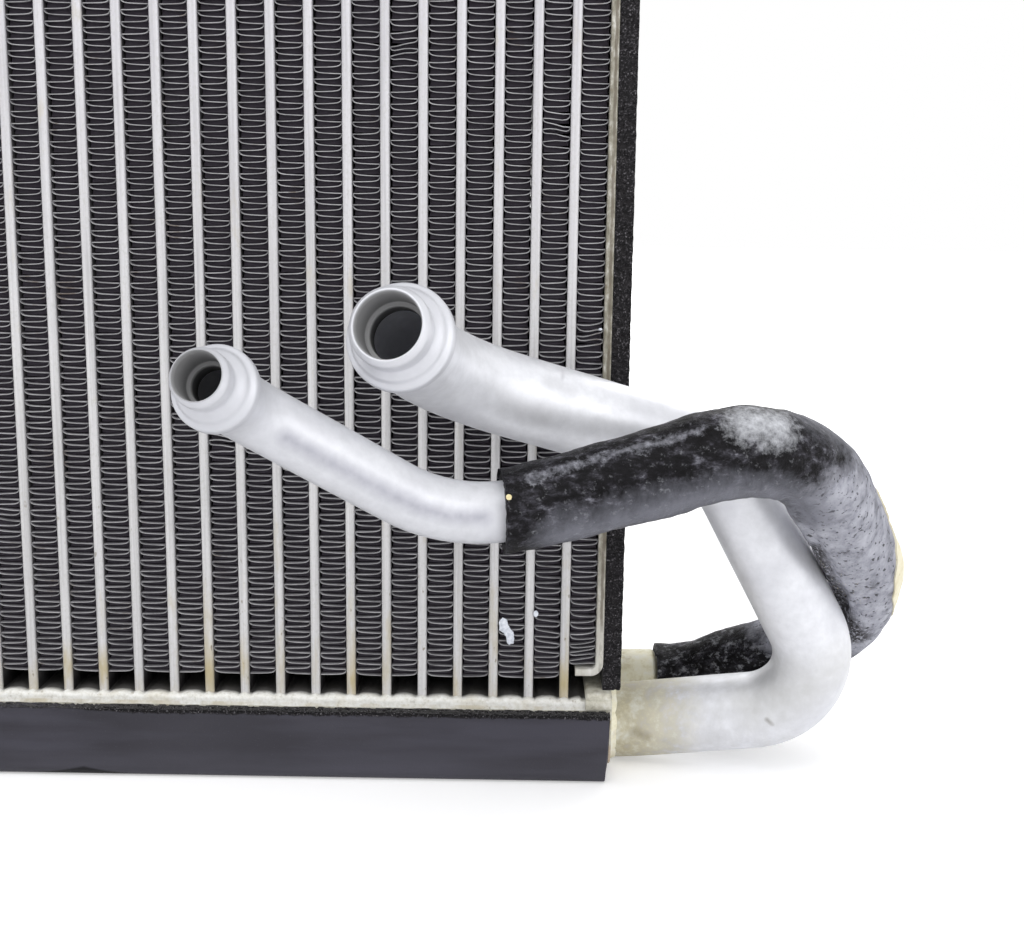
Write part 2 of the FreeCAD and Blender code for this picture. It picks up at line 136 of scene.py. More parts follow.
class Look:
    """One procedural material, with the few node patterns that the looks are made of."""

    def __init__(self, name, metallic=0.0, specular=0.5, sheen=0.0):
        self.material = bpy.data.materials.new(name)
        self.material.use_nodes = True
        self.shader = self.material.node_tree.nodes["Principled BSDF"]
        for key, value in (("Metallic", metallic), ("Specular IOR Level", specular), ("Sheen Weight", sheen)):
            self.shader.inputs[key].default_value = value
        self.place = self.node("ShaderNodeTexCoord").outputs["Object"]
        self.x, self.y, self.z = self.node("ShaderNodeSeparateXYZ", (self.place,)).outputs

    def node(self, kind, inputs=(), **settings):
        return add_node(self.material.node_tree, kind, inputs, **settings)

    def noise(self, size, detail=4.0, rough=0.55, seed=0, stretch=(1, 1, 1)):
        shift = (seed * 7.3, seed * 3.1, seed * 5.7)
        scale = [1 / (MM * size * s) for s in stretch]
        place = self.node("ShaderNodeMapping", {"Vector": self.place, "Location": shift, "Scale": scale})
        settings = {"Vector": place.outputs["Vector"], "Scale": 1.0, "Detail": detail, "Roughness": rough}
        return self.node("ShaderNodeTexNoise", settings).outputs["Fac"]

    def math(self, kind, *values):
        return self.node("ShaderNodeMath", values, operation=kind).outputs[0]

    add = partialmethod(math, "ADD")
    less = partialmethod(math, "SUBTRACT")
    most = partialmethod(math, "MAXIMUM")
    size = partialmethod(math, "ABSOLUTE")

    def times(self, *values):
        out = values[0]
        for value in values[1:]:
            out = self.math("MULTIPLY", out, value)
        return out

    def rise(self, value, low, high, at_low=0.0, at_high=1.0):
        return self.node("ShaderNodeMapRange", (value, low, high, at_low, at_high)).outputs["Result"]

    def along(self, length, low, high):
        return self.rise(length, low * MM, high * MM)

    # A noise's share between two of its values, then the noise's own settings
    def patch(self, low, high, *settings):
        return self.rise(self.noise(*settings), low, high)

    def beside_tube(self):
        return self.math("PINGPONG", self.add(self.x, tube_pitch * MM * 20), tube_pitch * MM / 2)

    def from_middle(self):
        return self.size(self.less(self.z, middle_z * MM))

    def vector(self, kind, a, b):
        made = self.node("ShaderNodeVectorMath", (a, b), operation=kind)
        return made.outputs["Value" if kind in ("DISTANCE", "DOT_PRODUCT") else "Vector"]

    def spot(self, centre, inner, outer):
        return self.along(self.vector("DISTANCE", self.place, Vector(centre) * MM), outer, inner)

    # 1 along a line of points on the surface, fading from the inner to the outer distance
    def stripe(self, inner, outer, *points):
        share = 0.0
        for a, b in zip(points, points[1:]):
            a, run = Vector(a) * MM, (Vector(b) - Vector(a)) * MM
            away = self.vector("SUBTRACT", self.place, a)
            dot = self.vector("DOT_PRODUCT", away, run)
            part = self.node("ShaderNodeMath", (dot, run.length_squared), operation="DIVIDE", use_clamp=True)
            foot = self.node("ShaderNodeVectorMath", {0: run, "Scale": part.outputs[0]}, operation="SCALE")
            gap = self.vector("DISTANCE", away, foot.outputs["Vector"])
            share = self.most(self.along(gap, outer, inner), share)
        return share

    # Inside a pipe's open end: 1 on the inner wall, and how far up the axis from the tip
    def bore(self, tip, axis, radius):
        away = self.vector("SUBTRACT", self.place, Vector(tip) * MM)
        out = self.vector("DISTANCE", self.vector("CROSS_PRODUCT", away, axis), (0, 0, 0))
        share = self.times(self.along(out, radius + 0.45, radius + 0.15), self.spot(tip, 20, 24))
        return share, self.vector("DOT_PRODUCT", away, axis)

    # Colours by value, each stop a position and a colour from 0 to 255
    def ramp(self, value, *stops):
        made = self.node("ShaderNodeValToRGB", (value,))
        elements = made.color_ramp.elements
        while len(elements) < len(stops):
            elements.new(1.0)
        for element, (position, *rgb) in zip(elements, stops):
            element.position = position
            element.color = srgb(*rgb)
        return made.outputs["Color"]

    def mix(self, share, a, b):
        return self.node("ShaderNodeMix", {0: share, 6: a, 7: b}, data_type="RGBA").outputs[2]

    # Changes the tone so far towards other colours by a share
    def cover(self, share, colours):
        self.tone = self.mix(share, self.tone, colours)

    # Changes the tone so far towards one colour by the product of some shares
    def wash(self, rgb, *shares):
        self.cover(self.times(*shares), srgb(*rgb))

    # The finished material: roughness by a value, at 0 and at 1, then a bump's height, depth in mm and strength
    def finish(self, rough, rough_low, rough_high, height, depth, strength=0.8):
        bump = {"Strength": strength, "Distance": depth * MM, "Height": height}
        feed(self.shader.inputs["Base Color"], self.tone)
        feed(self.shader.inputs["Roughness"], self.rise(rough, 0.0, 1.0, rough_low, rough_high))
        feed(self.shader.inputs["Normal"], self.node("ShaderNodeBump", bump).outputs["Normal"])
        return self.material


# Brazed fin sheet: pale at the cut edges, with painted shade deep between the folds, by the tubes and towards
# the bottom
def fin_look():
    look = Look("fin_aluminium", 0.2)
    depth = look.size(look.y)
    edge = look.along(depth, fin_edge_from, fin_edge_to)
    look.tone = look.ramp(look.noise(5.0, 5.0, 0.6, 0, (1, 1, 0.5)), (0.30, 114, 114, 116),
                          (0.5, 148, 148, 150), (0.72, 178, 178, 180))
    look.wash((104, 94, 86), look.patch(0.60, 0.72, 9.0, 5.0, 0.65, 3))
    # painted shade on the fin edges beside the tube walls
    look.wash((58, 55, 60), look.along(look.beside_tube(), 2.55, 3.05), 0.6)
    pale = look.tone
    look.tone = look.ramp(look.noise(3.0, 3.0, 0.6, 7), (0.3, 124, 122, 127), (0.7, 156, 153, 159))
    # painted shade: the flanks darker towards the bottom
    look.wash((96, 94, 99), look.along(look.z, 110, 20), 0.7)
    # painted shade on the flanks more than a millimetre in from the faces
    look.wash((84, 78, 88), look.along(depth, 26.3, 25.9))
    look.cover(edge, pale)
    return look.finish(edge, 0.95, 0.6, look.noise(0.6, 3.0), 0.05, 0.5)


# Places where flux has yellowed the front of a tube, as x and z
tube_stains = [(-13.0, 25.0), (-4.8, 24.0), (19.9, 24.5), (29.2, 27.0), (53.9, 23.0), (78.8, 22.5),
               (103.7, 23.0)]


# Flat tubes: pale drawn aluminium with faint streaks, yellowed by flux at their ends, with painted shade on
# their side walls that deepens near the headers
def tube_look():
    look = Look("tube_aluminium", 0.2)
    streak = look.noise(1.6, 5.0, 0.6, 0, (0.5, 1, 22))
    look.tone = look.ramp(streak, (0.28, 182, 181, 182), (0.5, 202, 201, 202), (0.74, 216, 215, 216))
    look.wash((202, 200, 212), look.along(look.z, 90, 190), 0.35)
    grain_fine = look.noise(0.45, 2.0, 0.6, 4, (1, 1, 1.5))
    look.wash((182, 182, 176), look.rise(grain_fine, 0.52, 0.70), 0.4)
    blotch = look.noise(7.0, 6.0, 0.65, 2, (0.8, 1, 3.0))
    ends = look.most(look.along(look.z, 52, 20), look.along(look.z, 178, 210))
    stain = look.rise(look.add(blotch, look.times(ends, 0.16)), 0.60, 0.76)
    look.wash((196, 186, 160), stain, 0.6)
    for x, z in tube_stains:
        spot = look.spot((x, tubes_low[1], z), 0.5, 7.5)
        look.wash((184, 168, 122), spot, look.rise(blotch, 0.34, 0.54), 0.75)
    speck = look.patch(0.69, 0.75, 1.2, 3.0, 0.5, 5, (1, 1, 2))
    look.wash((118, 104, 78), speck, look.along(look.z, 110, 20), 0.8)
    seam = look.along(look.beside_tube(), tube_pitch / 2 - 0.25, tube_pitch / 2)
    wear_and_glints = look.patch(0.46, 0.60, 14.0, 3.0, 0.5, 8, (1.5, 1, 2.5))
    look.wash((146, 145, 148), seam, wear_and_glints, 0.2)
    # painted shade on the side walls behind the rounded fronts, deeper still near the headers
    painted_shade_wall = look.along(look.size(look.y), -tubes_low[1] - 0.75, -tubes_low[1] - 1.3)
    look.wash((72, 69, 72), painted_shade_wall, 0.92)
    look.wash((36, 34, 35), painted_shade_wall, look.along(look.from_middle(), 90, 94))
    return look.finish(stain, 0.45, 0.8, look.add(streak, grain_fine), 0.06, 0.6)


# Rough brazed skin with chalky flux for headers, with painted shade away from the open edges
def header_look():
    look = Look("header_aluminium", 0.1)
    crust = look.noise(1.1, 6.0, 0.7)
    look.tone = look.ramp(crust, (0.26, 200, 197, 187), (0.44, 232, 231, 225), (0.64, 246, 246, 243))
    look.wash((216, 208, 186), look.patch(0.50, 0.68, 11.0, 4.0, 0.6, 4), 0.5)
    look.wash((142, 124, 94), look.patch(0.64, 0.72, 3.0, 5.0, 0.65, 6), 0.6)
    foot = middle_z - header_low[2]
    line = look.along(look.from_middle(), foot - 0.95, foot - 0.6)
    look.wash((188, 172, 130), line, look.patch(0.42, 0.62, 6.0, 5.0, 0.6, 2), 0.45)
    # painted shade away from the front and rear edges
    look.wash((60, 57, 56), look.along(look.size(look.y), 28.3, 26.4), 0.94)
    return look.finish(crust, 0.65, 0.95, crust, 0.22)


# End caps: cream flux over bare metal, rusty orange towards the bottom edge
def cap_look():
    look = Look("cap_aluminium", 0.1)
    crust = look.noise(1.8, 6.0, 0.65)
    look.tone = look.ramp(crust, (0.28, 166, 162, 146), (0.5, 206, 203, 188), (0.72, 230, 229, 222))
    look.wash((182, 130, 78), look.patch(0.42, 0.6, 3.5, 4.0, 0.6, 2), look.along(look.z, 10, 3))
    look.wash((166, 148, 108), look.patch(0.56, 0.70, 6.0, 5.0, 0.65, 9), 0.55)
    return look.finish(crust, 0.55, 0.9, crust, 0.25)


# Socket and braze fillets: pale straw-coloured flux over bare metal
def socket_look():
    look = Look("socket_aluminium", 0.15)
    crust = look.noise(3.0, 6.0, 0.62)
    look.tone = look.ramp(crust, (0.30, 218, 210, 176), (0.5, 243, 239, 216), (0.70, 250, 249, 239))
    look.wash((190, 176, 134), look.patch(0.58, 0.72, 5.0, 5.0, 0.65, 4), 0.6)
    return look.finish(crust, 0.45, 0.8, crust, 0.12, 0.7)


# Side plates: dull sheet, bright at its feet, dirty and glue-smeared along the foam
def plate_look():
    look = Look("plate_aluminium", 0.2)
    streak = look.noise(2.2, 5.0, 0.6, 0, (1, 1, 7))
    bright = look.ramp(streak, (0.28, 176, 172, 160), (0.5, 204, 202, 194), (0.74, 226, 225, 220))
    mottle = look.noise(1.6, 6.0, 0.7, 5, (1, 1, 2.4))
    dim = look.ramp(mottle, (0.32, 104, 100, 86), (0.5, 150, 146, 133), (0.66, 206, 204, 197))
    look.tone = look.mix(look.along(look.from_middle(), 86, 60), bright, dim)
    wobble = look.less(look.noise(2.0, 4.0, 0.6, 3, (1, 1, 2)), 0.5)
    across = look.add(look.size(look.x), look.times(wobble, 0.7 * MM))
    glue = look.times(look.along(across, 111.75, 111.95), look.along(across, 112.6, 112.4))
    look.wash((96, 87, 74), glue, look.patch(0.34, 0.5, 5.0, 4.0, 0.6, 1, (1, 1, 2)), 0.75)
    look.wash((118, 104, 82), look.patch(0.58, 0.68, 2.6, 5.0, 0.7, 7, (1, 1, 1.6)), 0.55)
    return look.finish(streak, 0.45, 0.75, streak, 0.1, 0.6)


# Marks on the pipes, with painted shade in the crook of the suction pipe's lower bend and a painted dark
# reflection along the liquid pipe: tone, strength, inner and outer reach, and the points they run along
suction_marks_and_shade = [
    ((168, 168, 172), 0.55, 0.5, 3.2, (99.5, -52.9, 96.8), (103.5, -52.0, 95.0)),
    ((176, 176, 182), 0.5, 0.1, 0.7, (101.0, -44.0, 98.5), (101.6, -51.5, 96.5), (102.6, -53.5, 90.0)),
    ((196, 196, 200), 0.5, 1.0, 5.0, (92.0, -57.5, 91.0), (97.0, -54.0, 90.0)),
    ((138, 128, 104), 0.7, 0.3, 1.9, (121.0, -26.0, 10.5), (123.5, -26.5, 9.4)),
    ((112, 106, 98), 0.7, 0.1, 0.8, (150.6, -32.4, 16.6), (151.8, -33.0, 15.4)),
    ((196, 194, 182), 0.5, 0.5, 3.0, (126.0, -29.0, 6.0), (140.0, -33.0, 8.5)),
    # painted shade in the crook of the lower bend
    ((190, 190, 188), 0.65, 1.0, 9.0, (147.0, -32.0, 21.0), (157.0, -35.0, 24.0), (165.0, -33.0, 31.0)),
]
liquid_marks_and_reflection = [
    # painted reflection: a dark band along the bare pipe
    ((150, 150, 162), 0.72, 0.2, 2.6, (50.9, -92.5, 90.3), (57.5, -89.2, 85.8), (67.2, -84.2, 79.4),
     (74.0, -80.9, 75.4), (79.8, -78.4, 73.4), (86.0, -76.6, 72.9)),
    ((206, 206, 212), 0.5, 0.5, 2.6, (52.0, -91.0, 93.0), (58.0, -88.5, 89.5)),
]


# Bent pipes: satin aluminium, softly clouded, flux-stained near the tank, dull inside, with painted shade
# deepening into the open ends
def pipe_look(name, route, mouth, flux_end, skin, skin_light, marks_and_painted_light):
    look = Look(name)
    fine = look.noise(2.4, 6.0, 0.6)
    look.tone = look.ramp(fine, (0.30, *skin), (0.72, *skin_light))
    look.wash((198, 199, 206), look.patch(0.46, 0.68, 15.0, 4.0, 0.5, 2), 0.40)
    low_run = look.along(look.z, 44, 30)
    near_tank = look.times(look.along(look.x, flux_end, 116), low_run)
    mottle = look.noise(3.6, 6.0, 0.68, 4)
    flux = look.rise(look.add(mottle, look.times(near_tank, 0.32)), 0.42, 0.74)
    flux = look.times(flux, look.rise(near_tank, 0.0, 0.35))
    look.cover(flux, look.ramp(mottle, (0.34, 170, 158, 122), (0.5, 204, 197, 170), (0.66, 226, 225, 213)))
    brushed = look.patch(0.36, 0.66, 3.0, 6.0, 0.65, 5, (1.4, 1, 2.4))
    look.wash((172, 172, 167), look.along(look.x, 166, 150), low_run, brushed, 0.3)
    ragged = look.patch(-0.5, 0.6, 2.0, 4.0, 0.5, 6)
    # marks, painted shade and a painted reflection from the lists above
    for rgb, strength, *where in marks_and_painted_light:
        look.wash(rgb, look.stripe(*where), ragged, strength)
    tip, before = Vector(route[-1]), Vector(route[-2])
    inside, depth = look.bore(tip, (tip - before).normalized(), mouth)
    # painted shade inside the open end, darker the deeper it is from the lip
    painted_shade_wall = look.ramp(look.along(depth, -6.0, 9.0), (0.0, 30, 30, 31), (0.36, 50, 50, 51), (0.50, 86, 86, 87),
                     (0.555, 168, 168, 169), (0.61, 118, 118, 119), (1.0, 146, 146, 147))
    turned_end = look.spot(tip, 13, 16)
    look.wash((198, 199, 205), turned_end, look.along(depth, -3.4, -1.8), 0.7)
    look.cover(inside, painted_shade_wall)
    dull = look.most(flux, inside)
    feed(look.shader.inputs["Metallic"], look.rise(dull, 0.0, 1.0, 0.30, 0.1))
    rough = look.add(look.times(look.noise(5.0, 6.0, 0.7, 8), 0.4), look.times(dull, 0.8))
    return look.finish(rough, 0.36, 0.70, look.add(fine, look.times(flux, 1.5)), 0.05, 0.5)


# Charcoal foam: a smooth moulded skin with painted sheen bands, painted floor light towards its outer long edge
# and a painted shadow crescent at the front's lower edge, and open cells where it has been cut
def foam_look(name, cut_share, skin, skin_light, cell_light, painted_sheen_share):
    look = Look(name, 0.0, 0.25, 0.08)
    soft = look.noise(24.0, 4.0, 0.55, 0, (2.0, 1, 1))
    fine = look.noise(0.55, 3.0, 0.6)
    look.tone = look.ramp(soft, (0.32, *skin), (0.70, *skin_light))
    # painted sheen: soft lighter bands stretched along the foam
    sheen = look.patch(0.42, 0.66, 5.5, 3.0, 0.5, 6, (8, 1, 1))
    look.wash((80, 79, 90), sheen, painted_sheen_share)
    look.wash((84, 82, 90), look.rise(fine, 0.60, 0.70), 0.25)
    # painted light from the floor: lighter towards the outer long edge
    look.wash((86, 85, 94), look.along(look.from_middle(), middle_z - 8, middle_z - 1), 0.35)
    # painted shadow: a dark crescent along the lower edge at the front
    shadow_crescent = look.stripe(1.0, 1.6, (-18.0, -31.5, -0.6), (-8.0, -32.6, 1.3), (2.0, -31.5, -0.6))
    look.wash((12, 11, 14), shadow_crescent, 0.9)
    open_cells = look.noise(0.42, 2.0, 0.7, 3)
    cells = look.ramp(open_cells, (0.40, 8, 7, 9), (0.53, 25, 23, 26), (0.62, 60, 58, 61), (0.72, *cell_light))
    cut = cut_share(look)
    height = look.add(look.times(fine, 0.25), look.times(open_cells, cut, 1.4))
    look.cover(cut, cells)
    return look.finish(fine, 0.72, 0.98, height, 0.3)


# Where the wraps' foam is cut open: along the edges that face the core, and at both ends
def wrap_cut(look):
    ragged = look.times(look.less(look.noise(1.6, 4.0, 0.6, 9), 0.5), 1.3 * MM)
    narrow = look.times(look.along(look.x, 4, -12), 0.85 * MM)
    level = look.less(look.add(look.z, ragged), narrow)
    low = look.along(level, foam_high[2] - 1.35, foam_high[2] - 1.0)
    low = look.times(low, look.along(look.z, middle_z + 1, middle_z - 1))
    high = look.along(look.less(look.z, ragged), top_low[2] + 1.35, top_low[2] + 1.0)
    high = look.times(high, look.along(look.z, middle_z - 1, middle_z + 1))
    ends = look.along(look.size(look.x), foam_high[0] - 0.3, foam_high[0] - 0.1)
    return look.most(ends, look.most(low, high))


# The strips are cut open at the front and the rear
def strip_cut(look):
    return look.along(look.size(look.y), strip_high[1] - 0.7, strip_high[1] - 0.15)


# Grey places and painted highlights on the sleeve (grey of dust and painted sheen up the bend's outer side,
# a painted highlight on top of the upper run, a painted sheen streak along its top): tone, strength, the line's
# share and the speckle's, the sum's range, inner and outer reach, and the points they run along
sleeve_rubs_and_highlights = [
    ((132, 133, 142), 0.7, 1.0, 1.2, 0.1, 1.1, 1.0, 9.0, (150, -59.5, 90), (157, -55.5, 87), (163, -51, 82),
     (167, -46, 77)),
    ((204, 206, 212), 0.9, 1.0, 1.6, 0.14, 1.05, 0.0, 7.0, (137.0, -69.6, 90.6), (143.0, -68.6, 90.2)),
    ((150, 151, 160), 0.8, 0.7, 1.8, 0.36, 1.0, 0.0, 3.2, (94.5, -74.5, 80.5), (104.3, -73.4, 83.3),
     (114, -72.5, 86), (124, -71.8, 88.4), (129, -71, 89.8)),
]


# Sleeve foam: wrinkled black skin mottled with painted glints, grey down the loop's outer limb from dust and
# painted sheen, with a painted floor reflection along its lower side and painted highlights along its top
def sleeve_look():
    look = Look("sleeve_foam", 0.0, 0.1)
    fine = look.noise(0.9, 5.0, 0.7, 2)
    cloud = look.noise(6.0, 6.0, 0.7)
    wrinkle = look.noise(3.2, 6.0, 0.68, 12, (1.0, 1.0, 1.8))
    # the black skin's lighter mottle is painted glints of a glossy skin
    wear_and_glints = look.noise(2.2, 6.0, 0.7, 14, (1.7, 1, 1))
    body = look.ramp(wear_and_glints, (0.36, 7, 6, 8), (0.50, 22, 21, 24), (0.60, 56, 55, 61), (0.73, 126, 126, 135))
    # grey down the outer limb: dust, and a painted sheen of the bright surroundings
    limb = look.times(look.along(look.x, 140, 158), look.along(look.z, 18, 30), look.along(look.z, 92, 73))
    dust_and_sheen = look.rise(look.add(look.times(cloud, 0.9), limb), 0.82, 1.25)
    look.tone = look.ramp(wrinkle, (0.30, 112, 113, 120), (0.48, 160, 161, 171), (0.68, 190, 191, 200))
    look.wash((44, 42, 44), look.patch(0.605, 0.66, 1.15, 3.0, 0.55, 5), 0.8)
    look.tone = look.mix(dust_and_sheen, body, look.tone)
    # painted reflection of the floor: lighter grey along the lower side of the upper run and bend
    floor_reflection = look.stripe(1.0, 8.0, (101, -74.5, 68.5), (118, -73.5, 73), (132, -72, 76.5), (142, -68.5, 76.5),
                        (150, -63, 73), (153, -56, 69))
    floor_reflection = look.add(look.times(floor_reflection, 0.8), look.times(look.less(wrinkle, 0.5), 0.8))
    look.wash((118, 119, 128), look.rise(floor_reflection, 0.10, 0.85), 0.9)
    mottle = look.less(look.noise(1.5, 5.0, 0.7, 17), 0.5)
    # grey places, a painted highlight and a painted sheen streak from the list above
    for rgb, strength, share, speckle, low, high, *where in sleeve_rubs_and_highlights:
        rub_and_highlight = look.add(look.times(look.stripe(*where), share), look.times(mottle, speckle))
        look.wash(rgb, look.rise(rub_and_highlight, low, high), strength)
    # white scratches and painted glossy glints along the lower run
    scratches_and_glints = look.patch(0.53, 0.68, 2.0, 6.0, 0.7, 8, (1.4, 1, 1))
    look.wash((176, 178, 184), scratches_and_glints, look.along(look.z, 34, 22), 0.75)
    fibres = look.patch(0.38, 0.50, 0.8, 4.0, 0.7, 4, (1, 1, 2.2))
    edge = look.stripe(1.2, 4.4, (173.7, -19.5, 33.0), (167.0, -25.6, 43.5), (160.9, -34.6, 54.0),
                       (158.0, -42.0, 61.0))
    look.wash((30, 25, 22), edge, fibres, 0.9)
    straw = look.patch(0.66, 0.69, 0.7, 2.0, 0.5, 11, (0.5, 1, 3.5))
    look.wash((206, 196, 168), straw, look.spot((163.5, -31.0, 50.0), 4.0, 12.0))
    rough = look.add(look.times(dust_and_sheen, 0.7), look.times(fine, 0.5))
    height = look.add(look.times(fine, 0.3), look.times(wrinkle, 1.2))
    return look.finish(rough, 0.34, 0.85, height, 0.55, 0.85)


# Woven cream tape
def tape_look():
    look = Look("cream_tape", 0.0, 0.3)
    weave = look.noise(0.5, 3.0, 0.6)
    soft = look.noise(3.0, 4.0, 0.6, 3)
    look.tone = look.ramp(soft, (0.30, 222, 213, 182), (0.52, 234, 228, 202), (0.72, 242, 239, 222))
    look.wash((168, 152, 118), look.patch(0.64, 0.72, 1.4, 4.0, 0.6, 7), 0.6)
    return look.finish(weave, 0.65, 0.9, weave, 0.12, 0.7)


# A chalky pale bit: flux flake, or a dot of old glue
def chip_look(name, low, high):
    look = Look(name)
    chalk = look.noise(0.9, 4.0, 0.6)
    look.tone = look.ramp(chalk, (0.35, *low), (0.62, *high))
    return look.finish(chalk, 0.6, 0.9, chalk, 0.15, 0.7)


def add_object(name, data):
    obj = bpy.data.objects.new(name, data)
    scene.collection.objects.link(obj)
    return obj


# Writes a shape's corners and faces, turns its faces outwards and shades it smooth up to an angle
def make(name, shape, material, stands_for, smooth):
    verts, faces = shape
    mesh = bpy.data.meshes.new(name)
    mesh.from_pydata((np.asarray(verts, float) * MM).tolist(), [], faces)
    work = bmesh.new()
    work.from_mesh(mesh)
    bmesh.ops.recalc_face_normals(work, faces=work.faces)
    work.to_mesh(mesh)
    work.free()
    mesh.shade_smooth()
    mesh.set_sharp_from_angle(angle=radians(smooth))
    mesh.materials.append(material)
    obj = add_object(name, mesh)
    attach(obj, "root")
    if stands_for:
        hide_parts(*stands_for)
    return obj


# Two pieces that stand for two nodes: one as drawn, and one turned over by flip
def make_twins(names, suffix, flip, shape, material, smooth):
    verts, faces = shape
    return [make(name + suffix, (points, faces), material, [name], smooth)
            for name, points in zip(names, (verts, flip(verts)))]


# Faces between rings of equal point count; closed joins the last ring to the first
def loft(rings, closed=False, capped=True):
    count, around = len(rings), len(rings[0])
    verts = [tuple(p) for ring in rings for p in ring]
    faces = []
    last = count if closed else count - 1
    for i in range(last):
        a = i * around
        b = ((i + 1) % count) * around
        for k in range(around):
            n = (k + 1) % around
            faces.append((a + k, a + n, b + n, b + k))
    if capped and not closed:
        faces.append(tuple(range(around)))
        faces.append(tuple((count - 1) * around + k for k in range(around)))
    return verts, faces


def to_top(verts):
    return [(x, y, 2 * middle_z - z) for x, y, z in verts]


def to_left(verts):
    return [(-x, y, z) for x, y, z in verts]


def grain(x, y, z, size, seed=0.0):
    return noise.noise(Vector((x / size + seed, y / size + seed * 0.7, z / size - seed)))


# Round corner about a centre, from angle a to angle b in degrees
def quarter(cx, cz, radius, a, b, steps=6):
    return [(cx + radius * cos(radians(a + (b - a) * k / steps)),
             cz + radius * sin(radians(a + (b - a) * k / steps))) for k in range(steps + 1)]


# Adds a mesh's corners and faces to those so far
def join(verts, faces, more_verts, more_faces):
    shift = len(verts)
    verts += more_verts
    faces += [tuple(n + shift for n in face) for face in more_faces]


# Where neighbouring fins are bent: x, z, reach, squeeze and slant
bent_fins = [
    (64.9, 164.7, 3.6, 0.55, 0.28),
    (100.4, 148.7, 3.0, 0.5, -0.30),
    (108.3, 104.3, 2.6, 0.45, 0.30),
    (25.7, 79.9, 3.4, 0.5, -0.26),
    (108.5, 31.0, 6.5, 0.55, 0.16),
    (-29.0, 62.0, 3.0, 0.4, 0.2),
    (-78.0, 141.0, 3.2, 0.5, -0.25),
]

# One fold of the fin from wall to wall: share of the half width, and rise in pitches
fin_fold = [(-1.0, 0.0), (-0.5, 0.01), (0.0, 0.05), (0.4, 0.10), (0.7, 0.20), (0.86, 0.36), (0.95, 0.55),
            (1.0, 0.80)]


def fin_line(low, high, first, rng):
    half = (high[0] - low[0]) / 2 - fin_sheet / 2 - fin_gap
    mid = (high[0] + low[0]) / 2
    z0 = low[2] + fin_sheet
    z1 = high[2] - fin_sag - fin_sheet
    folds = round((z1 - z0) / fin_pitch)
    pitch = (z1 - z0) / folds
    line = []
    for k in range(folds):
        side = 1 if (k + first) % 2 == 0 else -1
        lift = rng.uniform(-0.05, 0.05)
        tilt = rng.uniform(-0.05, 0.05)
        reach = 1 - rng.uniform(0.0, 0.02)
        for share, rise in fin_fold:
            x = mid + side * half * min(share, reach)
            z = z0 + pitch * (k + rise) + lift + tilt * share * (1 - abs(share))
            for bx, bz, size, squeeze, slant in bent_fins:
                gap = hypot(x - bx, z - bz)
                if gap < 3 * size:
                    w = exp(-(gap / size) ** 2)
                    z += w * (-squeeze * (z - bz) * 0.6 + slant * (x - bx))
            line.append((x, z))
    return np.array(line)


# Louvre blades: thin wedges hanging from each fold a little way in from a face
def louvres(line, face, inward):
    folds = len(line) // len(fin_fold)
    start = line[1::len(fin_fold)]
    end = (line[5::len(fin_fold)] + line[6::len(fin_fold)]) / 2
    start = start - (end - start) * (louvre_reach, 0.0)
    back, front = face + inward * louvre_to, face + inward * louvre_from
    verts = np.empty((folds, 6, 3))
    for half, at in enumerate((start, end)):
        top = at[:, 1] + fin_sag * louvre_to / fin_half_depth
        corners = ((back, top), (back + louvre_edge, top), (front, start[:, 1] - louvre_drop))
        for corner, (y, z) in enumerate(corners):
            verts[:, 3 * half + corner] = np.stack([at[:, 0], np.full(folds, y), z], axis=1)
    shape = [(0, 1, 2), (3, 4, 5), (0, 1, 4, 3), (1, 2, 5, 4), (2, 0, 3, 5)]
    faces = [tuple(6 * k + n for n in part) for k in range(1, folds) for part in shape]
    return verts.reshape(-1, 3).tolist(), faces


# One fin strip: a thin sheet folded along the line, arched from front to rear, with its louvres
def fin_strip(number, material):
    name = "fin_%02d" % number
    low, high = span(name)
    rng = random.Random(100 + number)
    line = fin_line(low, high, number % 2, rng)
    ahead = np.gradient(line, axis=0)
    ahead /= np.linalg.norm(ahead, axis=1)[:, None]
    normal = np.stack([-ahead[:, 1], ahead[:, 0]], axis=1) * fin_sheet / 2
    outline = np.concatenate([line + normal, (line - normal)[::-1]])
    stations = [(low[1], 0.0), ((low[1] + high[1]) / 2, fin_sag), (high[1], 0.0)]
    verts, faces = loft([[(x, y, z + sag) for x, z in outline] for y, sag in stations], capped=False)
    ring = len(outline)
    for a, b in ((0, ring), (2 * ring, 3 * ring)):
        faces += [(a + k, a + k + 1, b - 2 - k, b - 1 - k) for k in range(ring // 2 - 1)]
    for face, inward in ((low[1], 1), (high[1], -1)):
        join(verts, faces, *louvres(line, face, inward))
    make(name + "_folded", (verts, faces), material, [name], 30)


# Twenty-six flat tubes with rounded front and rear edges and a slight waviness
def flat_tubes(material):
    low_z = header_low[2] - 1.0
    levels = np.linspace(low_z, 2 * middle_z - low_z, 41)
    front = tubes_low[1]
    nose = []
    for k in range(9):
        t = radians(-90 + 22.5 * k)
        nose.append((sin(t) * tube_thick / 2, front + 0.7 * (1 - abs(cos(t)) ** 0.7)))
    outline = nose + [(-x, -y) for x, y in nose]
    verts, faces = [], []
    for i in range(tube_count):
        mid = tubes_low[0] + tube_thick / 2 + i * tube_pitch
        rings = []
        for z in levels:
            sway = 0.05 * grain(mid, 0, z, 30.0, 1.5)
            push = 0.06 * (1 + grain(mid, 9, z, 17.0, 4.0))
            rings.append([(mid + sway + x, y + (push if y < 0 else -push), z) for x, y in outline])
        join(verts, faces, *loft(rings))
    make("flat_tubes_drawn", (verts, faces), material, ["flat_tubes"], 50)


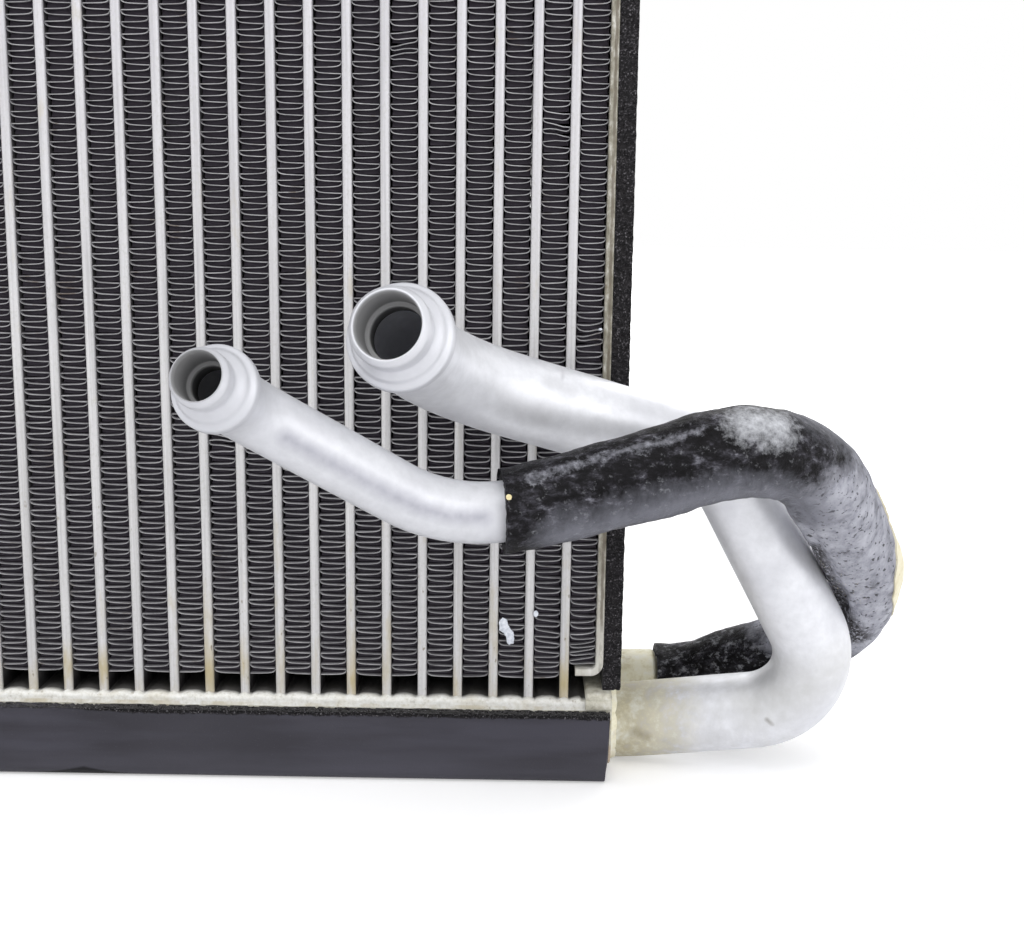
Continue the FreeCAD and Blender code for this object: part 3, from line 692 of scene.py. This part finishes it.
# Header plate: rows of low mounds between the tubes under a lumpy crust of flux
def header_rings():
    half_x, half_y = header_high[:2]
    rows = [d - half_y for d in (0.12, 0.45, 0.9, 1.5, 2.3, 3.4, 6.0, 12.0, 20.0)] + [0.0]
    rows += [-r for r in rows[-2::-1]]
    rings = []
    for x in np.linspace(-half_x, half_x, 390):
        place = (x - tubes_low[0] - tube_thick / 2) / tube_pitch
        to_tube = abs(place - round(place)) * tube_pitch
        to_gap = tube_pitch / 2 - to_tube
        inside = -0.5 < place < tube_count - 0.5
        mound = sqrt(max(0.0, 1 - (to_gap / dome_half) ** 2)) if inside else 0.3
        braze = max(0.0, 1 - (to_tube - tube_thick / 2) / 0.7) if inside else 0.0
        front = [(x, inset - half_y, header_low[2] + up) for inset, up in ((0, 0), (0.1, 0.7), (0.05, 1.3))]
        top = []
        for y in rows:
            rim = min(1.0, (half_y - abs(y)) / 1.1)
            z = header_top + dome_rise * mound * sqrt(rim) + 0.35 * braze * rim - 0.3 * (1 - rim) ** 2
            z += 0.14 * grain(x, y, 0, 1.3) * rim + 0.10 * grain(x, y, 3, 3.1) - 0.12
            top.append((x, y, min(z, header_top + dome_rise)))
        ring = []
        for _, y, z in front + top + [(x, -y, z) for _, y, z in front[::-1]]:
            if abs(y) > half_y - 0.2 and z > header_low[2] + 0.2:
                y -= copysign(0.16 * (1 + grain(x, y, z, 1.6, 5.0)), y)
            ring.append((x, y, z))
        rings.append(ring)
    return rings


def headers(material):
    names = ("header_bottom", "header_top")
    make_twins(names, "_brazed", to_top, loft(header_rings()), material, 60)


# Foam wrapped round a tank: an outer line with rounded corners, and the hollow for the tank
def wrap_line():
    out_y, top = foam_high[1], foam_high[2]
    in_y = tank_half_y
    line = [(-in_y - (out_y - in_y) * k / 8, top) for k in range(9)]
    line += [(-out_y, top - 0.24 * k) for k in range(1, 9)]
    line += [(-out_y, top - 1.92 - (top - 4.92) * k / 14) for k in range(1, 15)]
    line += quarter(foam_corner - out_y, foam_corner, foam_corner, 180, 270)[1:]
    line += [(-30 + 60 * k / 11, 0.0) for k in range(1, 11)]
    outer = line + [(-y, z) for y, z in line[:-10][::-1]]
    inner = [(in_y, 12.5)] + quarter(in_y - tank_corner, tank_bottom + tank_corner, tank_corner, 0, -90, 4)
    inner += [(12.0, tank_bottom)]
    return outer, inner + [(-y, z) for y, z in inner[::-1]]


def foam_wraps(material):
    outer, inner = wrap_line()
    top = foam_high[2]

    def torn(x, y, z):
        px = x * (1 - 0.008 * (1 - z / top) * max(0.0, (abs(x) - 100) / 14.5))
        if z > top - 0.1:
            pit = grain(x, y, 0, 0.9, 2.0)
            z -= 0.10 + 0.14 * (1 + grain(x, y, 2, 2.6)) + (0.45 if pit < -0.28 else 0.0)
        elif z > 2.9:
            side = copysign(1, y)
            dent = 0.08 * (1 + grain(x, z, 0, 14.0, side)) + 0.10 * max(0.0, z - top + 1.6)
            if z > top - 1.5:
                near = min(1.0, (z - top + 1.5) / 0.6) * min(1.0, max(0.15, (x + 12) / 16))
                pit = grain(x, z, 7, 0.7, side * 3)
                dent += near * (0.06 * (1 + grain(x, z, 5, 1.3, side)) + (0.28 if pit < -0.25 else 0.0))
            y -= side * dent
        return px, y, z

    rings = [[torn(x, y, z) for y, z in outer] + [(x, y, z) for y, z in inner]
             for x in np.linspace(foam_low[0], foam_high[0], 480)]
    names = ("foam_bottom", "foam_top")
    for obj in make_twins(names, "_wrap", to_top, loft(rings), material, 50):
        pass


# Foam strips along the side plates, cut square with open cells showing front and rear
def foam_strips(material):
    x0 = strip_low[0]
    x1, half_y = strip_high[:2]
    line = [(x0 + (x1 - x0) * k / 10, -half_y) for k in range(11)]
    line += [(x1, -half_y + d) for d in (0.4, 1.0, 2.0, 4.0, 8.0, 16.0, 28.0)]
    line += [(x, -y) for x, y in line[-2::-1]]

    def torn(x, y, z):
        if abs(y) > half_y - 0.1:
            pit = grain(x, z, y, 0.85, 6.0)
            deep = 0.12 * (1 + grain(x, z, y, 2.4)) + (0.5 if pit < -0.25 else 0.0)
            y -= copysign(deep, y)
        if x > x1 - 0.3:
            near_edge = abs(y) > half_y - 1.2
            x -= 0.12 * (1 + grain(y, z, 0, 1.5, 2.0)) if near_edge else 0.06 * (1 + grain(y, z, 0, 12.0))
        return x, y, z

    rings = [[torn(x, y, z) for x, y in line] for z in np.linspace(strip_low[2], strip_high[2], 440)]
    names = ("foam_strip_right", "foam_strip_left")
    for obj in make_twins(names, "_cut", to_left, loft(rings), material, 50):
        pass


def side_plates(material):
    foot, out = plate_low[0], plate_high[0]
    low, high = plate_low[2], plate_high[2]
    mid_x, t, r = out - plate_bend, plate_thick, plate_bend
    stems = np.linspace(low + r + 1, high - r - 1, 30)
    outer = [(foot, low)] + quarter(mid_x, low + r, r, -90, 0) + [(out, z) for z in stems]
    outer += quarter(mid_x, high - r, r, 0, 90) + [(foot, high)]
    inner = [(foot, high - t)] + quarter(mid_x, high - r, r - t, 90, 0) + [(out - t, z) for z in stems[::-1]]
    inner += quarter(mid_x, low + r, r - t, 0, -90) + [(foot, low + t)]
    line = np.array(outer + inner)
    ahead = np.roll(line, -1, axis=0) - np.roll(line, 1, axis=0)
    ahead /= np.linalg.norm(ahead, axis=1)[:, None]
    inward = np.stack([-ahead[:, 1], ahead[:, 0]], axis=1)
    rings = []
    rims = [(-28, 0.22), (-27.9, 0.06), (-27.7, 0.0), (-12, 0.0)]
    for y, shrink in rims + [(-y, shrink) for y, shrink in rims[::-1]]:
        ring = []
        for (x, z), (nx, nz) in zip(line, inward):
            dull = shrink + 0.04 * (1 + grain(x, y * 0.1, z, 6.0, 3.0)) * (shrink > 0)
            ring.append((x + nx * dull, y, z + nz * dull))
        rings.append(ring)
    names = ("side_plate_right", "side_plate_left")
    make_twins(names, "_folded", to_left, loft(rings), material, 40)


# A block with rounded edges, as vertices and faces
def rounded_block(low, high, radius, segments=3):
    work = bmesh.new()
    bmesh.ops.create_cube(work, size=1.0)
    for v in work.verts:
        v.co = Vector([low[i] + (v.co[i] + 0.5) * (high[i] - low[i]) for i in range(3)])
    bmesh.ops.bevel(work, geom=work.edges[:], offset=radius, segments=segments, profile=0.5, affect="EDGES")
    work.verts.index_update()
    verts = [tuple(v.co) for v in work.verts]
    faces = [tuple(v.index for v in f.verts) for f in work.faces]
    work.free()
    return verts, faces


# End cap: a plate with rounded lower corners and a rounded ridge that laps over the header
def cap_mesh():
    in_x, out_x = cap_high[0] - cap_thick, cap_high[0]
    half_y, base, top = tank_half_y, tank_bottom, header_top
    line = [(-half_y, top)] + quarter(tank_corner - half_y, base + tank_corner, tank_corner, 180, 270)
    line += [(-y, z) for y, z in line[::-1]]
    rings = []
    for x, shrink in ((in_x, 0.0), (out_x - 0.35, 0.0), (out_x - 0.1, 0.1), (out_x, 0.35)):
        rings.append([(x, y * (1 - shrink / half_y), z + shrink * (z < 9)) for y, z in line])
    verts, faces = loft(rings)
    ridge_y = cap_high[1]
    lap = in_x - cap_ridge_width
    blocks = [((lap, -ridge_y, header_top - 0.1), (out_x, ridge_y, cap_high[2]), 0.9)]
    for side in (-1, 1):
        y0, y1 = sorted((side * half_y, side * ridge_y))
        blocks.append(((lap, y0, cap_low[2] + 14.7), (out_x, y1, header_top + 0.6), 0.25))
    for low, high, radius in blocks:
        join(verts, faces, *rounded_block(low, high, radius))
    lumpy = []
    for x, y, z in verts:
        dent = 0.05 * (1 + grain(x, y, z, 2.5, 7.0))
        x -= dent * (x > out_x - 0.2)
        lumpy.append((x, y - copysign(dent, y), z - dent * (z > header_top)))
    return lumpy, faces


def caps(material):
    verts, faces = cap_mesh()
    names = {"bottom_right": verts, "bottom_left": to_left(verts), "top_right": to_top(verts)}
    names["top_left"] = to_left(to_top(verts))
    for name, points in names.items():
        make("cap_%s_brazed" % name, (points, faces), material, ["cap_" + name], 40)


# Middle, direction and upward side along a route of straight runs joined by arcs
def route_frames(points, radii, run_step=3.0, turn_step=4.0):
    points = [Vector(p) for p in points]
    ahead = (points[1] - points[0]).normalized()
    up = Vector((0, 0, 1))
    up = (up - ahead * up.dot(ahead)).normalized()
    out = [(points[0], ahead, up)]

    def straight(to):
        start = out[-1][0]
        if (to - start).length < 1e-4:
            return
        steps = max(1, ceil((to - start).length / run_step))
        for k in range(1, steps + 1):
            out.append((start.lerp(to, k / steps), ahead, up))

    for i in range(1, len(points) - 1):
        u = (points[i - 1] - points[i]).normalized()
        w = (points[i + 1] - points[i]).normalized()
        half = u.angle(w) / 2
        start = points[i] + u * (radii[i - 1] / tan(half))
        centre = points[i] + (u + w).normalized() * (radii[i - 1] / sin(half))
        end = points[i] + w * (radii[i - 1] / tan(half))
        axis = (start - centre).cross(end - centre).normalized()
        straight(start)
        turn = pi - 2 * half
        steps = max(2, ceil(degrees(turn) / turn_step))
        first_ahead, first_up = ahead, up
        for k in range(1, steps + 1):
            spin = Matrix.Rotation(turn * k / steps, 3, axis)
            ahead, up = spin @ first_ahead, spin @ first_up
            out.append((centre + spin @ (start - centre), ahead, up))
    straight(points[-1])
    return out


def ring_at(middle, ahead, up, radius, around):
    across = ahead.cross(up)
    turns = [2 * pi * k / around for k in range(around)]
    return [middle + (up * cos(t) + across * sin(t)) * radius for t in turns]


# Rounds each corner of a turned outline with a few points
def soften(outline, radius):
    out = [outline[0]]
    for before, at, after in zip(outline, outline[1:], outline[2:]):
        p, q, r = (np.array(c, float) for c in (before, at, after))
        a, b = p - q, r - q
        cut = min(radius, np.linalg.norm(a) * 0.4, np.linalg.norm(b) * 0.4)
        a, b = a / np.linalg.norm(a) * cut, b / np.linalg.norm(b) * cut
        for t in (0.0, 0.35, 0.65, 1.0):
            out.append(tuple(q + a * (1 - t) ** 2 + b * t * t))
    return out + [outline[-1]]


# Stepped end of a pipe as distance along the axis and radius, outside then inside
def end_outline(pipe, bore, collar, nose, mouth, seat):
    shoulder = (collar + nose) / 2
    outside = [(-4.6, pipe), (-2.2, pipe + 0.1), (-1.4, collar), (1.0, collar), (1.6, shoulder + 0.2)]
    outside += [(2.6, shoulder - 0.1), (3.4, nose + 0.3), (4.0, nose - 0.25), (4.9, nose - 0.25)]
    outside += [(5.5, nose), (7.9, nose), (9.0, nose - 0.9), (9.0, mouth + 0.35), (8.2, mouth)]
    inside = [(2.6, mouth), (2.6, seat), (-1.0, seat), (-3.0, bore), (-5.0, bore)]
    return soften(outside + inside, 0.5)


# A bent pipe with its wall, open at the turned end, as one closed mesh
def pipe_mesh(points, radii, pipe, bore, end_sizes, around=72):
    frames = route_frames(points, radii)
    tip, axis, up = frames[-1]
    body = [f for f in frames if (f[0] - tip).dot(axis) < -5.0 or (f[0] - tip).length > 20]
    rings = [ring_at(*f, pipe - 0.04 + 0.05 * grain(*f[0], 9.0, 2.0), around) for f in body]
    for along, radius in end_outline(pipe, bore, *end_sizes):
        rings.append(ring_at(tip + axis * along, axis, up, radius, around))
    rings += [ring_at(*f, bore, around) for f in body[::-1] if (f[0] - tip).length > 5.5]
    return loft(rings, closed=True)


# Routes, bend radii and end radii (collar, nose, mouth, seat) of both pipes, the same as those of the solids
suction_route = [(115.05, -16, 10.1), (119.55, -16, 10.1), (169.3, -27.4, 19.2), (137.6, -31.4, 78.0),
                 (76.0, -50.9, 97.5), (70.2, -78.6, 107.5)]
suction_bends = [22.0, 16.0, 22.0, 32.0]
suction_end = (10.5, 7.8, 6.2, 5.4)
liquid_route = [(117.05, 14, 10.1), (137.6, 14, 10.1), (183.4, -9.9, 35.0), (149.2, -64.0, 88.7),
                (80.9, -70.2, 69.7), (42.6, -89.6, 95.3), (40.5, -102.5, 100.3)]
liquid_bends = [18.0, 36.0, 30.0, 32.0, 14.0]
liquid_end = (7.8, 5.3, 4.2, 3.5)


def pipes(suction_material, liquid_material):
    suction = pipe_mesh(suction_route, suction_bends, suction_r, suction_bore, suction_end)
    make("suction_pipe_bent", suction, suction_material, ["suction_pipe"], 32)
    liquid = pipe_mesh(liquid_route, liquid_bends, liquid_r, liquid_bore, liquid_end)
    make("liquid_pipe_bent", liquid, liquid_material, ["liquid_pipe"], 32)


# A lumpy body of revolution along +X from distance and radius pairs, closed on itself
def turned(outline, base, lump):
    axis, up = Vector((1, 0, 0)), Vector((0, 0, 1))
    rings = []
    for along, radius in outline:
        centre = Vector(base) + axis * along
        ring = ring_at(centre, axis, up, radius, 72)
        rings.append([p + (p - centre).normalized() * lump * grain(*p, 2.2, 3.0) for p in ring])
    return loft(rings, closed=True)


# Socket for the liquid pipe, and the fillets of braze where both pipes meet the cap
def socket_and_braze(material):
    start, reach = cap_high[0], 1.9
    length = socket_end - start
    outline = [(0.0, liquid_r), (0.0, socket_r - 0.1), (length - 0.9, socket_r - 0.1),
               (length - 0.2, socket_r - 0.6), (length, liquid_r + 0.05)]
    socket = turned(soften(outline, 0.3), (start, *liquid_route[0][1:]), 0.05)
    make("liquid_socket_brazed", socket, material, ["liquid_socket"], 40)
    rims = (("suction", suction_r, suction_route[0]), ("liquid", socket_r, liquid_route[0]))
    for name, radius, (_, y, z) in rims:
        height = min(1.4, z - radius - 0.35)
        outline = [(0.0, radius - 0.4), (0.0, radius + height)]
        for k in range(1, 5):
            a = radians(18 * k)
            outline.append((reach * (1 - cos(a)) + 0.1, radius + height * (1 - sin(a))))
        outline += [(reach, radius - 0.4)]
        make(name + "_braze_fillet", turned(outline, (start, y, z), 0.3), material, (), 60)


# The sleeve's own route: the pipe's, cut where the sleeve ends a little way into the pipe's fourth bend
def sleeve_frames():
    corner, before, after = (Vector(liquid_route[i]) for i in (4, 3, 5))
    back, on = (before - corner).normalized(), (after - corner).normalized()
    radius, turn = liquid_bends[3], radians(sleeve_turn)
    bend_start = corner + back * (radius / tan(back.angle(on) / 2))
    reach = radius * tan(turn / 2)
    heading = Matrix.Rotation(turn, 3, on.cross(back).normalized()) @ -back
    middle = bend_start - back * reach
    start = (socket_end, *liquid_route[0][1:])
    points = [start] + liquid_route[1:4] + [tuple(middle), tuple(middle + heading * reach)]
    return route_frames(points, liquid_bends[:4], 1.1, 2.0)


# Where the sleeve's skin stands out from its even thickness: place, direction, reach and push
sleeve_lumps = [
    ((140, -66, 90), (-0.2, 0.0, 1.0), 16, 1.3),
    ((122, -67, 80), (0.0, 0.0, -1.0), 16, 1.2),
    ((158, -50, 72), (-1.0, 0.4, 0.0), 14, 2.0),
    ((150, 8, 17), (0.0, 0.0, 1.0), 14, 1.8),
    ((130, 14, 18), (0.0, -0.2, 1.0), 8, 0.9),
    ((162, -30, 52), (-0.88, 0.1, -0.46), 9, 0.62),
    ((182.9, -21.5, 43.0), (0.95, -0.28, -0.12), 13, -1.15),
]


# Radius of the sleeve's lumpy skin on one side of its line
def skin_radius(middle, out):
    p = middle + out * sleeve_r
    r = sleeve_r - 0.22 + 0.36 * grain(*p, 6.0, 1.0) + 0.20 * grain(*p, 2.2, 5.0)
    r = min(r, sleeve_r)
    for place, way, reach, push in sleeve_lumps:
        gap = (p - Vector(place)).length
        if gap < 2.5 * reach:
            r += push * exp(-(gap / reach) ** 2) * max(0.0, out.dot(Vector(way).normalized()))
    return r


# Foam sleeve: a lumpy skin over the liquid pipe with a ragged seam and a cut left end
def sleeve(material):
    frames = sleeve_frames()
    seam_side = Vector((-0.72, -0.66, -0.2))
    around = 96
    rings = []
    for middle, ahead, up in frames:
        across = ahead.cross(up)
        seam = atan2(seam_side.dot(across), seam_side.dot(up))
        ring = []
        ragged = 0.10 * grain(*middle, 3.0, 9.0)
        open_seam = 0.6 + 0.9 * exp(-((middle.z - 43) / 16) ** 2) * (middle.x > 150)
        for k in range(around):
            t = 2 * pi * k / around
            out = up * cos(t) + across * sin(t)
            p = middle + out * sleeve_r
            r = skin_radius(middle, out)
            off = abs((t - seam - ragged + pi) % (2 * pi) - pi)
            if off < seam_width:
                r -= open_seam * (1 - (off / seam_width) ** 2) * (0.75 + 0.5 * grain(*p, 1.4, 4.0))
            elif off < lip_width:
                r += 0.12 * (1 + grain(*p, 1.1, 2.0))
            ring.append(middle + out * r)
        rings.append(ring)
    middle, ahead, up = frames[-1]
    for share in (0.97, 0.8, 0.6, 0.4, 0.2, 0.05):
        radius = liquid_r + 0.1 + (sleeve_r - 0.35 - liquid_r) * share
        ring = ring_at(middle, ahead, up, radius, around)
        lean = [(p - middle).dot(Vector((0, -0.6, -0.8))) * 0.09 for p in ring]
        torn = [0.4 - 0.2 * (1 + grain(*p, 1.0, 6.0)) for p in ring]
        rings.append([p + ahead * (a + b) for p, a, b in zip(ring, lean, torn)])
    for middle, ahead, up in frames[::-1][1::3]:
        rings.append(ring_at(middle, ahead, up, liquid_r + 0.1, around))
    skin = loft(rings, closed=True)
    obj = make("pipe_sleeve_foam", skin, material, ["pipe_sleeve"], 60)


# How far round the sleeve the tape sits, in degrees, by distance from the start of the straight run
tape_turns = [(tape_from, 14), (-12.8, -4), (-6.4, -14), (0, -2), (5.6, 20), (12.8, 50), (tape_to, 58)]


# Tape pressed askew along the outside of the limb, turning back out of sight towards both ends
def tape(material):
    frames = route_frames(liquid_route, liquid_bends, 1.0, 2.0)
    u = (Vector(liquid_route[3]) - Vector(liquid_route[2])).normalized()
    first = next(i for i, f in enumerate(frames) if (f[1] - u).length < 1e-4)
    toward = Vector((1.0, 0.0, -0.25))
    rings = []
    for middle, ahead, _ in frames:
        s = (middle - frames[first][0]).dot(u)
        if not tape_from < s < tape_to or middle.x < 155 or middle.y > -12:
            continue
        turn = radians(np.interp(s, *zip(*tape_turns)))
        away = (toward - ahead * toward.dot(ahead)).normalized()
        aside = ahead.cross(away)
        outside, inside = [], []
        for k in range(13):
            share = k / 6 - 1
            lift = 0.10 * abs(share) ** 6 * (1 + grain(*middle, 2.5, 1.0))
            edge = 0.03 * grain(middle.x, share * 9, middle.z, 2.0, 3.0) * (abs(share) > 0.9)
            t = turn + tape_half_turn * share + edge
            out = away * cos(t) + aside * sin(t)
            skin = skin_radius(middle, out)
            stand_off = 0.08 + 0.22 * min(1.0, (s - tape_from) / 4)
            outside.append(middle + out * (skin + stand_off + lift))
            inside.append(middle + out * (skin - 0.1 + lift))
        rings.append(outside + inside[::-1])
    make("sleeve_tape_strip", loft(rings), material, ["sleeve_tape"], 40)


# A thin chip with a broken outline, standing on a front face; lobes are x, z and half sizes from its centre
def chip(name, centre, lobes, thick, seed, material):
    cx, cy, cz = centre
    rng = random.Random(seed)
    outline = []
    for k in range(40):
        a = 2 * pi * k / 40
        reach = 0.0
        for lx, lz, half_x, half_z in lobes:
            for step in range(60):
                r = step * 0.1
                inside = ((r * cos(a) - lx) / half_x) ** 2 + ((r * sin(a) - lz) / half_z) ** 2 < 1
                reach = max(reach, r * inside)
        reach *= 1 + rng.uniform(-0.10, 0.06)
        outline.append((reach * cos(a), reach * sin(a)))
    rings = []
    for depth, shrink in ((0.0, 0.94), (-0.5 * thick, 1.0), (-thick, 0.9), (-1.15 * thick, 0.45)):
        ring = [(cx + x * shrink, cz + z * shrink) for x, z in outline]
        rings.append([(x, cy + depth + 0.25 * thick * grain(x, 0, z, 1.2, seed), z) for x, z in ring])
    make(name, loft(rings), material, (), 50)


def build_object():
    fin_material = fin_look()
    for number in range(1, tube_count + 2):
        fin_strip(number, fin_material)
    flat_tubes(tube_look())
    headers(header_look())
    foam_wraps(foam_look("wrap_foam", wrap_cut, (50, 49, 55), (62, 61, 68), (140, 138, 142), 0.45))
    foam_strips(foam_look("strip_foam", strip_cut, (30, 28, 30), (42, 39, 41), (124, 121, 125), 0.06))
    side_plates(plate_look())
    cap_material = cap_look()
    caps(cap_material)
    suction_skin = ((221, 222, 227), (236.0, 237.1, 242.4))
    liquid_skin = ((204, 205, 210), (217.9, 219.0, 224.3))
    pipes(pipe_look("suction_aluminium", suction_route, suction_end[2], 138, *suction_skin, suction_marks_and_shade),
          pipe_look("liquid_aluminium", liquid_route, liquid_end[2], 100, *liquid_skin, liquid_marks_and_reflection))
    socket_and_braze(socket_look())
    sleeve(sleeve_look())
    tape(tape_look())
    pale = chip_look("flux_flake", (196, 202, 214), (234, 238, 246))
    lobes = [(-0.9, 1.5, 1.15, 1.9), (0.75, -1.5, 1.0, 1.9), (0.0, 0.0, 0.9, 1.5)]
    chip("flux_flake_large", (90.3, -27.5, 35.4), lobes, 0.5, 5, pale)
    chip("flux_flake_small", (96.9, -28.0, 39.8), [(0, 0, 0.65, 0.85)], 0.3, 8, pale)
    chip("flux_flake_tiny", (110.2, -27.9, 105.6), [(0, 0, 0.42, 0.38)], 0.3, 4, pale)
    glue = chip_look("old_glue", (214, 196, 140), (238, 226, 180))
    chip("glue_dot", (90.8, -77.2, 77.1), [(0, 0, 0.7, 0.6)], 0.4, 3, glue)
    for name in ("tank_bottom", "tank_top", "baffle_bottom", "baffle_top"):
        nodes[name].data.materials.clear()
        nodes[name].data.materials.append(cap_material)


# The camera stands where the photograph was taken from
def add_camera():
    tilt, yaw, roll = (radians(a) for a in (10.39, 0.44, 0.78))
    base = Matrix(((1, 0, 0), (0, 0, -1), (0, 1, 0)))
    turn = Matrix.Rotation(roll, 3, "Z") @ Matrix.Rotation(tilt, 3, "X") @ Matrix.Rotation(yaw, 3, "Y") @ base
    axes = Matrix((turn[0], -turn[1], -turn[2])).transposed()
    data = bpy.data.cameras.new("camera")
    data.lens = 49.22
    data.sensor_width = 36
    data.clip_start = 0.02
    data.clip_end = 40
    cam = add_object("camera", data)
    cam.matrix_world = Matrix.Translation(Vector((93.35, -340.7, 130.1)) * MM) @ axes.to_4x4()
    scene.camera = cam


def add_light(name, place, target, size, power):
    data = bpy.data.lights.new(name, "AREA")
    data.shape = "DISK"
    data.size = size
    data.energy = power
    obj = add_object(name, data)
    obj.location = place
    obj.rotation_euler = (Vector(target) - Vector(place)).to_track_quat("-Z", "Y").to_euler()


# 1 where a surface is seen by the camera, in a reflection or through glass
def seen_directly(tree):
    rays = add_node(tree, "ShaderNodeLightPath").outputs
    seen = rays["Is Camera Ray"]
    for kind in ("Is Glossy Ray", "Is Transmission Ray"):
        seen = add_node(tree, "ShaderNodeMath", (seen, rays[kind]), operation="MAXIMUM").outputs[0]
    return seen


# White all round, a little weaker as light than as background
def add_world():
    world = bpy.data.worlds.new("studio")
    scene.world = world
    world.use_nodes = True
    tree = world.node_tree
    level = add_node(tree, "ShaderNodeMapRange", (seen_directly(tree), 0.0, 1.0, 0.80, 1.0))
    feed(tree.nodes["Background"].inputs["Strength"], level.outputs["Result"])
    feed(tree.nodes["Background"].inputs["Color"], (1, 1, 1, 1))


# White floor: it glows for the camera alone, and the object's shadow stays on it
def add_floor():
    mesh = bpy.data.meshes.new("floor")
    r = 6.0
    mesh.from_pydata([(-r, -r, 0), (r, -r, 0), (r, r, 0), (-r, r, 0)], [], [(0, 1, 2, 3)])
    obj = add_object("floor", mesh)
    material = bpy.data.materials.new("floor_paper")
    material.use_nodes = True
    tree = material.node_tree
    place = add_node(tree, "ShaderNodeTexCoord").outputs["Object"]
    away = add_node(tree, "ShaderNodeVectorMath", (place,), operation="LENGTH").outputs["Value"]
    level = add_node(tree, "ShaderNodeMapRange", (away, 0.3, 1.2, 0.35, 1.0)).outputs["Result"]
    glow = add_node(tree, "ShaderNodeMath", (seen_directly(tree), level), operation="MULTIPLY").outputs[0]
    paper = {"Base Color": (0.86, 0.86, 0.87, 1), "Roughness": 0.9, "Specular IOR Level": 0.1,
             "Emission Color": (1, 1, 1, 1), "Emission Strength": glow}
    for key, value in paper.items():
        feed(tree.nodes["Principled BSDF"].inputs[key], value)
    mesh.materials.append(material)


def add_lights():
    aim = (0.08, -0.02, 0.10)
    add_light("key", (-0.25, -0.75, 1.15), aim, 0.9, 5.8)
    add_light("fill", (0.95, -0.85, 0.55), aim, 0.8, 3.8)
    add_light("rim", (0.4, 0.9, 0.9), aim, 0.9, 5.0)


build_object()
add_camera()
add_world()
add_floor()
add_lights()
scene.view_settings.view_transform = "Standard"
